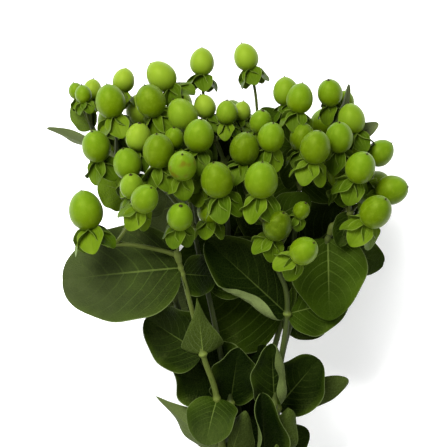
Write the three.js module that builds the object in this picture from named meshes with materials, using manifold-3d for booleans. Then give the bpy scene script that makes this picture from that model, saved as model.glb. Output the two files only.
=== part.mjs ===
// A bunch of eight cut hypericum stems with green berries, held by a rubber band and lying on its side.
// Each stem is two solids: a leafy stem, and the spray of stalks, calyces and berries that tops it.
// Millimetres: +Y runs from the cut ends to the berries, +Z is up, and the bunch lies on the plane z = 0.
import * as THREE from 'three';
import { mergeVertices } from 'three/addons/utils/BufferGeometryUtils.js';
import Module from 'manifold-3d';

const wasm = await Module();
wasm.setup();

// ---- Driving dimensions, in millimetres and degrees ----
const cutEndY = -316; // the cut ends, measured from the middle of the leafy part
const tieY = -215;
const bundleX = 4; // the middle of the bundle of stalks at the tie
const bundleZ = 19;
const cutDrop = 9.3; // the cut ends lie this much lower than the tie
const cutSpread = 1.6; // and stand this much further apart
const bundleRing = 4.4; // seven stalks stand on a ring of this radius round the eighth
const stalkRadiusCut = 1.75;
const stalkRadiusTie = 1.6;
const stalkRadiusTop = 1.25;
const stalkletRadius = 0.85; // the branches of a spray
const pedicelRadius = 0.6; // the thin stalk of one berry
const jointGap = 0.3; // between a leafy stem and its spray, and between the stalks and the band
const bandThickness = 1.5;
const bandWidth = 6;
const collarLength = 2.6; // the knuckle that a spray starts from
const berryWidthShare = 0.83; // a berry's width over its length
// A berry's half width, as a share of its widest, at places along it from its foot, -0.5, to its tip, 0.5
const berryProfile = [[-0.41, 0.6], [-0.1, 1.02], [0.29, 0.77]];
const footShare = 0.47; // how far the pedicel's end lies from a berry's middle, as a share of its length
const pedicelPull = 0.45; // how straight a pedicel meets its berry, as a share of its reach
const bladeThickness = 0.8;
const bractBend = 10;
const bractCup = 0.2;
const sepalsPerBerry = 5;
const sepalLength = 10; // on a berry of the full length
const fullBerry = 14;
const calyxDent = 5.4; // how far out the calyx reaches between two sepals
const calyxRise = 0.5; // the calyx is centred this far up inside the berry's foot
const calyxNeck = 1.6; // and closes on the pedicel this far below it
const sepalSpreads = [54, 68, 38, 84, 24]; // tried in turn, measured from the stalk, until the sepal is clear
const goldenAngle = 137.5;

// How finely the solids are cut
const stalkSides = 5;
const stalkSteps = 12;
const branchSides = 5;
const branchSteps = 3;
const pedicelSides = 4;
const pedicelSteps = 2;
const bladeStep = 9; // a blade is cut across about this often
const bandSides = 18;

// ---- Where things grow ----
// path: points of the leafy stem between the tie and its top.
// forks: [parent fork, x, y, z]; fork 0 is the top of the stem.
// berries: [fork, x, y, z, length, tilt, lean]; tilt turns the tip from +Y to +X, and lean lifts it to +Z.
// leaves: [y on the stem, tilt, lean, roll, length, width, bend, cup]; roll 0 turns the upper face to +Z.
// bracts: [fork, tilt, lean, roll, length, width].
const stems = {
  a: {
    ring: 116,
    path: [[-1, -79, 47], [-8.8, -41, 59], [-18, -5, 69]],
    forks: [[0, -43, 2, 70]],
    berries: [
      [1, -55, 15.6, 72, 16.6, -13, 5],
      [1, -36.5, 25, 82, 11.5, -5, 35],
      [1, -31, 20, 91, 13, 30, 40],
      [0, -17.5, 13, 84, 12.5, 5, 45],
    ],
    leaves: [
      [-7.5, -95, -15, 14, 50.5, 39.5, 8, -0.04],
      [-10, 95, -32, 0, 18, 17, 20, 0.12],
      [-42, -59, -10, -15, 28, 26, 10, 0.15],
      [-42, -6, 30, 180, 25, 16, -12, 0.5],
      [-60, 198, 40, 15, 21, 21, 30, 0.12],
      [-80, -56, -7, 150, 35, 16, -15, 0.3],
      [-93, 16, 22, 165, 31, 18, -10, 0.4],
    ],
    bracts: [[1, -75, -20, 0, 9, 4]],
  },
  b: {
    ring: 219,
    path: [[-5, -79, 37], [-20, -20, 38], [-36, 20, 40]],
    forks: [[0, -44, 36, 46], [1, -53, 48, 42], [0, -44, 32, 30]],
    berries: [
      [1, -51, 41, 66, 14, -15, 30],
      [2, -59.6, 63.5, 44, 7.6, -20, 0],
      [2, -56.5, 62, 52.5, 8, -10, 10],
      [2, -53, 64, 43, 9.4, 5, 0],
      [1, -45.5, 59, 62, 14.4, -12, 10],
      [1, -40.2, 67.5, 52, 10.6, 10, 0],
      [3, -49.5, 38, 30, 13, -50, -15],
      [3, -46, 52, 24, 13.5, -18, -30],
      [3, -47.5, 34, 12, 13.5, -55, -40],
    ],
    leaves: [
      [13, 15, -35, 180, 20, 16, 10, 0.15],
      [-20, -77, -15, 180, 40, 22, 12, 0.15],
      [-118, -70, -5, 180, 32, 20, 10, 0.2],
    ],
    bracts: [[1, -61, 5, 114, 30, 11], [0, -75, 0, 0, 14.5, 18], [2, -38, -12, 0, 13.5, 10]],
  },
  c: {
    ring: 270,
    path: [[0, -79, 29], [-6, -20, 30], [-14, 28, 34]],
    forks: [[0, -24, 42, 44], [0, -20, 44, 26]],
    berries: [
      [1, -25.5, 69, 56, 14, -40, 0],
      [1, -29.5, 59, 66, 14.4, -20, 20],
      [1, -34, 56, 47, 13.2, -5, 5],
      [1, -17, 53.5, 64, 14.4, -30, 10],
      [2, -30, 60, 30, 13, -35, -20],
      [2, -18, 59, 34, 12, -8, -10],
      [2, -22, 48, 6.9, 13.5, -15, -55],
    ],
    leaves: [
      [20, -110, -40, 180, 30, 22, 15, 0.15],
      [-12, 200, -28, 180, 40, 30, -10, 0.15],
    ],
    bracts: [[0, 60, 8, 0, 18, 14], [1, -60, -15, 0, 20, 14]],
  },
  d: {
    ring: null,
    path: [[6, -79, 34], [3, -20, 34], [0, 32, 42]],
    forks: [[0, -4, 44, 48], [0, 13, 48, 42]],
    berries: [
      [1, -9, 75, 50, 12, 0, 0],
      [2, 8.5, 77, 48, 12, -18, 0],
      [1, -8, 57, 56, 10.5, -20, 5],
      [1, 1, 54.5, 62, 10.5, 0, 15],
      [2, 7, 55, 53, 9, 10, 0],
      [2, 3, 54.5, 30, 12.5, 5, -20],
      [2, 8, 50, 18, 13, 10, -45],
    ],
    leaves: [
      [0, 22, -12, 0, 32, 26, 0, 0.1],
      [2, -122, -3, 0, 26, 19, 0, 0.1],
      [-82, 13, 5, 0, 44.5, 25, 0, 0.15],
    ],
    bracts: [[1, -100, 0, 0, 16, 12], [2, 80, 5, 0, 16, 12], [0, -40, 5, 0, 20, 16], [0, 45, 5, 0, 24, 18]],
  },
  e: {
    ring: 167,
    path: [[3, -79, 41], [-2, -40, 49], [-12, 6, 56]],
    forks: [[0, -24, 24, 70], [0, -14, 22, 68]],
    berries: [
      [1, -38.5, 34, 74, 13.6, -15, 25],
      [1, -34, 44.5, 70, 12.4, 5, 20],
      [1, -26, 39, 82, 15, -6, 27],
      [2, -20, 44, 71, 9.5, 0, 20],
      [2, -10, 45, 80, 14.4, 8, 25],
      [2, -16.5, 33, 89, 13.5, 0, 50],
      [2, -10, 29.5, 73, 12, 0, 10],
      [2, -3, 27.5, 86, 15.5, -12, 25],
      [0, -6, 16, 70, 12, 0, 0],
    ],
    leaves: [
      [-14, 60, -12, 0, 30, 24, 10, 0.15],
      [-62, -36, 12, 0, 33, 30, 5, 0.2],
      [-62, 8, 30, 0, 27, 19, -5, 0.3],
    ],
    bracts: [[2, 20, -10, 0, 24, 14], [2, 80, -30, 0, 20, 13]],
  },
  f: {
    ring: 64,
    path: [[18, -79, 46], [25, -25, 58], [20.4, -6, 62]],
    forks: [[0, 16, 10, 68]],
    berries: [
      [1, 8, 40, 76, 14, 10, 20],
      [1, 14.5, 27.5, 87, 15.8, 3, 25],
      [1, 14.5, 50.5, 68, 11, 10, 30],
      [1, 18.5, 44.5, 77, 12.8, 8, 30],
      [0, 30.5, 15.5, 80, 8.2, 30, 35],
      [0, 21, 9.5, 82, 13.5, 25, 35],
      [0, 31.5, -0.5, 86, 13, 50, 40],
    ],
    leaves: [
      [-26, -47, 10, 15, 44, 27, 5, 0.2],
      [-26, 76, -8, 0, 26, 22.5, 10, 0.12],
      [-62, -3, 28, 0, 27.5, 18, 0, 0.5],
      [-92, 16, 26, 155, 32, 15, -10, 0.5],
      [-90, -4, 28, 25, 37, 18, 0, 0.5],
    ],
    bracts: [[1, -20, -5, 0, 24, 14], [1, 60, -25, 0, 24, 14]],
  },
  g: {
    ring: 321,
    path: [[13, -79, 30], [25, -20, 37], [30, 24, 44]],
    forks: [[0, 28, 40, 50], [0, 42, 40, 52], [0, 34, 38, 30]],
    berries: [
      [1, 24.5, 63, 54, 12.4, -5, 5],
      [1, 30, 60, 65, 13, 10, 10],
      [1, 31, 44.5, 66, 12.4, 5, 15],
      [2, 36, 40.5, 77, 14.4, 15, 20],
      [2, 45.5, 44.5, 68, 13.6, 0, 30],
      [2, 42, 62.5, 58, 12, -8, 30],
      [2, 48, 59, 46, 10, 10, 0],
      [2, 50.5, 52, 58, 13.2, -10, 10],
      [3, 26, 52, 32, 13, -12, -20],
      [3, 40, 51, 30, 13, 15, -20],
      [3, 33, 46, 6.9, 13.5, 0, -55],
    ],
    leaves: [
      [-24, -75, 8, 0, 41, 47, 8, 0.1],
      [-24, 118, -10, 0, 20, 18, 10, 0.15],
      [-5, 52, 0, 0, 35, 31, 10, 0.12],
      [0, -52, 2, 0, 28, 20, 10, 0.15],
      [-86, 60, 10, 0, 25, 18, 10, 0.15],
      [-125, 60, -15, 180, 34, 22, 10, 0.2],
    ],
    bracts: [
      [0, -78, 0, 0, 22, 18], [0, 88, -3, 0, 22, 18], [1, -40, 10, 0, 21, 13], [1, 190, 20, 0, 17, 10],
      [2, 63, 8, 0, 22, 8], [2, 21, 8, 60, 27, 7],
    ],
  },
  h: {
    ring: 13,
    path: [[20, -79, 38], [24.5, -37, 45], [42, 6, 56]],
    forks: [[0, 50, 14, 60], [0, 49, 16, 44]],
    berries: [
      [1, 46, 30, 56, 12, -5, 20],
      [1, 54, 32.5, 72, 14.4, 25, 35],
      [1, 62.5, 38.5, 52, 12.5, 50, 5],
      [1, 67, 23.5, 62, 14, 80, 25],
      [1, 60, 15, 75, 15.2, 38, 35],
      [2, 61, 26, 38, 13, 60, -20],
      [2, 52, 40, 32, 13, 20, -20],
    ],
    leaves: [
      [4, 179, 16, 0, 33, 31, 20, 0.12],
      [1, 106, -20, 0, 28, 18, 12, 0.12],
      [-64, 40, 22, 0, 27, 23, 10, 0.2],
      [-64, 69, -10, 180, 31, 12, 10, 0.2],
      [-110, 70, 5, 0, 32, 20, 15, 0.2],
    ],
    bracts: [[1, 200, 15, 0, 14, 10]],
  },
};

// ---- Shapes ----
const toVector = ([x, y, z]) => new THREE.Vector3(x, y, z);
const radians = THREE.MathUtils.degToRad;
const up = new THREE.Vector3(0, 0, 1);

// The unit vector that tilt turns from +Y to +X and lean lifts to +Z.
function direction(tilt, lean) {
  const t = radians(tilt);
  const l = radians(lean);
  return new THREE.Vector3(Math.sin(t) * Math.cos(l), Math.cos(t) * Math.cos(l), Math.sin(l));
}

// A closed geometry as a solid.
function solid(geometry) {
  const bare = geometry.index ? geometry.toNonIndexed() : geometry.clone();
  for (const name of Object.keys(bare.attributes)) {
    if (name !== 'position') bare.deleteAttribute(name);
  }
  const merged = mergeVertices(bare, 1e-4);
  return new wasm.Manifold(new wasm.Mesh({
    numProp: 3,
    vertProperties: new Float32Array(merged.attributes.position.array),
    triVerts: new Uint32Array(merged.index.array),
  }));
}

// Moves each vertex of a geometry to where the function puts it.
function warp(geometry, place) {
  const position = geometry.attributes.position;
  const point = new THREE.Vector3();
  for (let i = 0; i < position.count; i++) {
    point.fromBufferAttribute(position, i);
    const placed = place(point);
    position.setXYZ(i, placed.x, placed.y, placed.z);
  }
  return geometry;
}

// A closed round tube through stations, each a point and a radius there.
function sweep(stations, sides) {
  const last = stations.length - 1;
  const frames = [];
  let normal = new THREE.Vector3(0.3, -0.4, 0.87);
  stations.forEach(({ p }, i) => {
    const before = stations[Math.max(i - 1, 0)].p;
    const after = stations[Math.min(i + 1, last)].p;
    const tangent = after.clone().sub(before).normalize();
    normal = normal.clone().addScaledVector(tangent, -tangent.dot(normal)).normalize();
    frames.push({ p, normal, binormal: tangent.clone().cross(normal) });
  });
  const cylinder = new THREE.CylinderGeometry(1, 1, 1, sides, last);
  return solid(warp(cylinder, (c) => {
    const i = Math.round((c.y + 0.5) * last);
    const { p, normal: n, binormal: b } = frames[i];
    const r = stations[i].r;
    return p.clone().addScaledVector(n, c.x * r).addScaledVector(b, -c.z * r);
  }));
}

// Evenly spaced stations along a curve, with a radius that may change with t.
function stationsOf(curve, radiusAt, steps) {
  return Array.from({ length: steps + 1 }, (_, i) => (
    { p: curve.getPoint(i / steps), r: radiusAt(i / steps) }));
}

// The half width of an ovate leaf at u, from 0 at the stem to 1 at the tip, as a share of its widest.
function ovate(u) {
  return Math.max(Math.sqrt(Math.sin(Math.PI * Math.pow(u, 0.75))), 0.12);
}

// The frame of a blade: d along the midrib, n out of the upper face, s to its side.
function bladeFrame(tilt, lean, roll) {
  const d = direction(tilt, lean);
  const n0 = up.clone().addScaledVector(d, -up.dot(d)).normalize();
  const s0 = d.clone().cross(n0);
  const n = n0.multiplyScalar(Math.cos(radians(roll))).addScaledVector(s0, Math.sin(radians(roll)));
  return { d, n, s: d.clone().cross(n) };
}

// A point of a blade: u along it, v from -1 to 1 across, h above its middle face.
// The midrib is an arc that falls by the bend, and the two halves lift by the cup.
function bladePoint(blade, u, v, h) {
  const { base, frame, length, width, bend, cup } = blade;
  const turn = radians(bend) || 1e-6;
  const half = ovate(Math.min(Math.max(u, 0), 1)) * width / 2;
  const along = Math.sin(turn * u) / turn * length;
  const fall = (1 - Math.cos(turn * u)) / turn * length;
  const lift = cup * half * v * v + h;
  return base.clone()
    .addScaledVector(frame.d, along + lift * Math.sin(turn * u))
    .addScaledVector(frame.n, lift * Math.cos(turn * u) - fall)
    .addScaledVector(frame.s, v * half);
}

// A thin closed blade.
function leafBlade(blade) {
  const steps = Math.max(Math.round(blade.length / bladeStep), 3);
  const slab = new THREE.BoxGeometry(2, bladeThickness, 1, 2, 1, steps);
  return solid(warp(slab, (p) => bladePoint(blade, 0.5 + Math.sin(Math.PI * p.z) / 2, -p.x, p.y)));
}

// A berry with its calyx: an egg with its widest part below the middle and a small point at the tip,
// on a thin star whose five points are the sepals and whose dents lie between them.
function berrySolid({ centre, axis, length, foot, heart, sepals }) {
  const spokes = sepals.flatMap((sepal, k) => {
    const between = sepal.out.clone().add(sepals[(k + 1) % sepalsPerBerry].out).normalize();
    return [sepal.tip, heart.clone().addScaledVector(between, calyxDent)];
  });
  const across = sepals[0].around;
  const sides = spokes.length;
  const ring = new THREE.CylinderGeometry(1, 1, 1, sides, berryProfile.length);
  return solid(warp(ring, (p) => {
    const row = Math.round((p.y + 0.5) * berryProfile.length);
    if (Math.hypot(p.x, p.z) < 0.5) {
      const [end, reach] = row ? [centre, length / 2] : [foot, -calyxNeck];
      return end.clone().addScaledVector(axis, reach);
    }
    const turn = Math.atan2(p.x, p.z);
    if (row === 0) return spokes[(Math.round(turn / (2 * Math.PI) * sides) + sides) % sides].clone();
    const [along, wide] = berryProfile[row - 1];
    return centre.clone()
      .addScaledVector(axis, along * length)
      .addScaledVector(across.clone().applyAxisAngle(axis, turn), wide * length * berryWidthShare / 2);
  }));
}

// ---- Growth ----
// The line of a stalk, from its cut end through the tie to its top.
function stalkCurve(stem) {
  const angle = stem.ring === null ? 0 : radians(stem.ring);
  const ring = stem.ring === null ? 0 : bundleRing;
  const offset = (y, z, spread) => new THREE.Vector3(
    bundleX + ring * spread * Math.cos(angle), y, z + ring * spread * Math.sin(angle));
  return new THREE.CatmullRomCurve3([
    offset(cutEndY + 2 * Math.cos(angle * 3), bundleZ - cutDrop, cutSpread),
    offset(tieY, bundleZ, 1),
    ...stem.path.map(toVector),
  ], false, 'catmullrom', 0.5);
}

// The stalk's radius falls to the tie and then on to the top.
function stalkRadius(t) {
  const tieT = 0.25; // where the tie's point lies along the curve
  return t < tieT
    ? THREE.MathUtils.lerp(stalkRadiusCut, stalkRadiusTie, t / tieT)
    : THREE.MathUtils.lerp(stalkRadiusTie, stalkRadiusTop, (t - tieT) / (1 - tieT));
}

// The point of a curve that climbs in y, at height y.
function pointAtY(curve, y) {
  let low = 0;
  let high = 1;
  for (let i = 0; i < 40; i++) {
    const middle = (low + high) / 2;
    if (curve.getPoint(middle).y < y) low = middle;
    else high = middle;
  }
  return curve.getPoint((low + high) / 2);
}

// Everything that one stem grows, as lines, blades and berries, before any solid is made.
function grow(stem) {
  const stalk = stalkCurve(stem);
  const top = stalk.getPoint(1);
  const heading = stalk.getTangent(1);
  const collarStart = top.clone().addScaledVector(heading, jointGap);
  const knuckle = top.clone().addScaledVector(heading, collarLength);
  const forks = [knuckle, ...stem.forks.map(([, ...p]) => toVector(p))];
  const branches = stem.forks.map(([parent], i) => new THREE.QuadraticBezierCurve3(
    forks[parent],
    forks[parent].clone().lerp(forks[i + 1], 0.5).addScaledVector(heading, 2),
    forks[i + 1]));
  const berries = stem.berries.map(([fork, x, y, z, length, tilt, lean]) => {
    const axis = direction(tilt, lean);
    const centre = new THREE.Vector3(x, y, z);
    const foot = centre.clone().addScaledVector(axis, -length * footShare);
    const reach = foot.distanceTo(forks[fork]);
    const pedicel = new THREE.QuadraticBezierCurve3(
      forks[fork], foot.clone().addScaledVector(axis, -reach * pedicelPull), foot);
    return { centre, axis, length, foot, heart: foot.clone().addScaledVector(axis, calyxRise), pedicel };
  });
  const leaves = stem.leaves.map(([y, tilt, lean, roll, length, width, bend, cup]) => ({
    base: pointAtY(stalk, y), frame: bladeFrame(tilt, lean, roll), length, width, bend, cup,
  }));
  const bracts = stem.bracts.map(([fork, tilt, lean, roll, length, width]) => ({
    base: forks[fork], frame: bladeFrame(tilt, lean, roll), length, width, bend: bractBend, cup: bractCup,
  }));
  return { stalk, collar: new THREE.LineCurve3(collarStart, knuckle), branches, berries, leaves, bracts };
}

// Balls that stand for what is already there, so that sepals can be spread clear of other stems.
function obstaclesOf(plant) {
  const balls = plant.berries.map((b) => ({ p: b.centre, r: b.length * 0.48 }));
  for (const curve of [plant.stalk, ...plant.branches, ...plant.berries.map((b) => b.pedicel)]) {
    const steps = Math.ceil(curve.getLength() / 2);
    for (let i = 0; i <= steps; i++) balls.push({ p: curve.getPoint(i / steps), r: 1.3 });
  }
  for (const blade of [...plant.leaves, ...plant.bracts]) {
    for (let u = 0; u <= 10; u++) {
      for (let v = -3; v <= 3; v++) balls.push({ p: bladePoint(blade, u / 10, v / 3, 0), r: 2.4 });
    }
  }
  return balls;
}

// The balls that stand for a sepal: one on its middle and one near its tip.
function sepalBalls(heart, { tip }) {
  return [[0.5, 2], [0.9, 0.9]].map(([share, r]) => ({ p: heart.clone().lerp(tip, share), r }));
}

// The sepals of a berry, each at the first spread that keeps it clear of the other stems.
// A sepal that has no room stays as short as the dents beside it.
function sepalsOf({ axis, heart, length }, number, others) {
  const across = new THREE.Vector3(1, 0, 0).cross(axis).normalize();
  return Array.from({ length: sepalsPerBerry }, (_, k) => {
    const turn = k * 360 / sepalsPerBerry + number * goldenAngle;
    const around = across.clone().applyAxisAngle(axis, radians(turn));
    const tries = sepalSpreads.map((spread) => {
      const s = radians(spread);
      const out = around.clone().multiplyScalar(Math.sin(s)).addScaledVector(axis, -Math.cos(s));
      return { around, out, tip: heart.clone().addScaledVector(out, sepalLength * length / fullBerry) };
    });
    const clear = tries.find((sepal) => (
      others.every((o) => sepalBalls(heart, sepal).every((b) => b.p.distanceTo(o.p) > b.r + o.r))));
    return clear ?? { ...tries[0], tip: heart.clone().addScaledVector(tries[0].out, calyxDent) };
  });
}

const names = Object.keys(stems);
const plants = Object.fromEntries(names.map((name) => [name, grow(stems[name])]));
const obstacles = Object.fromEntries(names.map((name) => [name, obstaclesOf(plants[name])]));
let berryNumber = 0;
for (const name of names) {
  const others = names.filter((other) => other !== name).flatMap((other) => obstacles[other]);
  for (const berry of plants[name].berries) {
    berryNumber += 1;
    const near = others.filter((o) => o.p.distanceTo(berry.foot) < sepalLength * 2 + o.r);
    berry.sepals = sepalsOf(berry, berryNumber, near);
    obstacles[name].push(...berry.sepals.flatMap((sepal) => sepalBalls(berry.heart, sepal)));
  }
}

// ---- Solids ----
const fuse = (solids) => solids.reduce((whole, piece) => whole.add(piece));

function leafyStem(plant) {
  return fuse([
    sweep(stationsOf(plant.stalk, stalkRadius, stalkSteps), stalkSides),
    ...plant.leaves.map(leafBlade),
  ]);
}

function berrySpray(plant) {
  const evenTube = (curve, radius, steps, sides) => sweep(stationsOf(curve, () => radius, steps), sides);
  return fuse([
    evenTube(plant.collar, stalkRadiusTop, 1, branchSides),
    ...plant.branches.map((branch) => evenTube(branch, stalkletRadius, branchSteps, branchSides)),
    ...plant.berries.map(({ pedicel }) => evenTube(pedicel, pedicelRadius, pedicelSteps, pedicelSides)),
    ...plant.berries.map(berrySolid),
    ...plant.bracts.map(leafBlade),
  ]);
}

// The rubber band: a flat ring round the bundle.
function rubberBand() {
  const inner = bundleRing + stalkRadiusTie + jointGap;
  const outer = inner + bandThickness;
  const half = bandWidth / 2;
  const profile = [[inner, -half], [outer, -half], [outer, half], [inner, half], [inner, -half]]
    .map(([x, y]) => new THREE.Vector2(x, y));
  const along = plants.d.stalk.getTangent(0.25);
  const turn = new THREE.Quaternion().setFromUnitVectors(new THREE.Vector3(0, 1, 0), along);
  const ring = new THREE.LatheGeometry(profile, bandSides).applyQuaternion(turn);
  return solid(ring.translate(bundleX, tieY, bundleZ));
}

// A solid as a named mesh.
function node(name, made, material) {
  const { vertProperties, triVerts } = made.getMesh();
  const geometry = new THREE.BufferGeometry();
  geometry.setAttribute('position', new THREE.BufferAttribute(new Float32Array(vertProperties), 3));
  geometry.setIndex(new THREE.BufferAttribute(new Uint32Array(triVerts), 1));
  geometry.computeVertexNormals();
  const mesh = new THREE.Mesh(geometry, material);
  mesh.name = name;
  return mesh;
}

const leafGreen = new THREE.MeshStandardMaterial({ color: 0x33491a, roughness: 0.5, metalness: 0 });
const berryGreen = new THREE.MeshStandardMaterial({ color: 0x7fa61c, roughness: 0.38, metalness: 0 });
const bandTan = new THREE.MeshStandardMaterial({ color: 0xb08a55, roughness: 0.7, metalness: 0 });

const bunch = new THREE.Group();
for (const name of names) {
  bunch.add(node(`stem_${name}_leafy`, leafyStem(plants[name]), leafGreen));
  bunch.add(node(`stem_${name}_berries`, berrySpray(plants[name]), berryGreen));
}
bunch.add(node('rubber_band', rubberBand(), bandTan));

// The origin is under the middle of the bunch, on the surface it lies on.
const box = new THREE.Box3().setFromObject(bunch);
const middle = box.getCenter(new THREE.Vector3());
bunch.position.set(-middle.x, -middle.y, -box.min.z);

export default bunch;
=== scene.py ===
# A bunch of eight cut hypericum stems with green berries, held by a rubber band and lying on its side.
# Each packed stem is dressed with its stalk, leaves, branches, berries, calyces and bracts.
import math

import bpy
import numpy as np
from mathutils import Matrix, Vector


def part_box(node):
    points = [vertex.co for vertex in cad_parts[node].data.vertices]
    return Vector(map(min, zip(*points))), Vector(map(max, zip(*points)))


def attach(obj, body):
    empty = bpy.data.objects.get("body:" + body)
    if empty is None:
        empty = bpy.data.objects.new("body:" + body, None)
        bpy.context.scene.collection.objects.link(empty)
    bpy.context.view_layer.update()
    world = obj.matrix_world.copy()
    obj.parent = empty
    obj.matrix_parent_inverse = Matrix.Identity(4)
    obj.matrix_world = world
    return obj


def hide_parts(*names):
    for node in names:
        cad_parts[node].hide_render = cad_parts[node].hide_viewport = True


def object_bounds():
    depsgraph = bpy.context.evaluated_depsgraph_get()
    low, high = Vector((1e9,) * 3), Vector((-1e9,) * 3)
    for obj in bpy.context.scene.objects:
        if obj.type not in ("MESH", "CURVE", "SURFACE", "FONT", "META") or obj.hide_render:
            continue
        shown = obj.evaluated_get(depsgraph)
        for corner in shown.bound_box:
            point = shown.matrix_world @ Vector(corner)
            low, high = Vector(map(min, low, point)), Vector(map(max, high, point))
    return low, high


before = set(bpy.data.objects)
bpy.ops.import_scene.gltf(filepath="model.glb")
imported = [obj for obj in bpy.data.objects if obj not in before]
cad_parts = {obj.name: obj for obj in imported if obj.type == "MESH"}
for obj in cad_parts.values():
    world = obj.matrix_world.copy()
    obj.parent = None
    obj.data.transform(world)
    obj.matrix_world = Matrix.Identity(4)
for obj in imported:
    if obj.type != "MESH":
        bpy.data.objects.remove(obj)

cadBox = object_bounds()
scene = bpy.context.scene
rng = np.random.default_rng(11)

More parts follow.
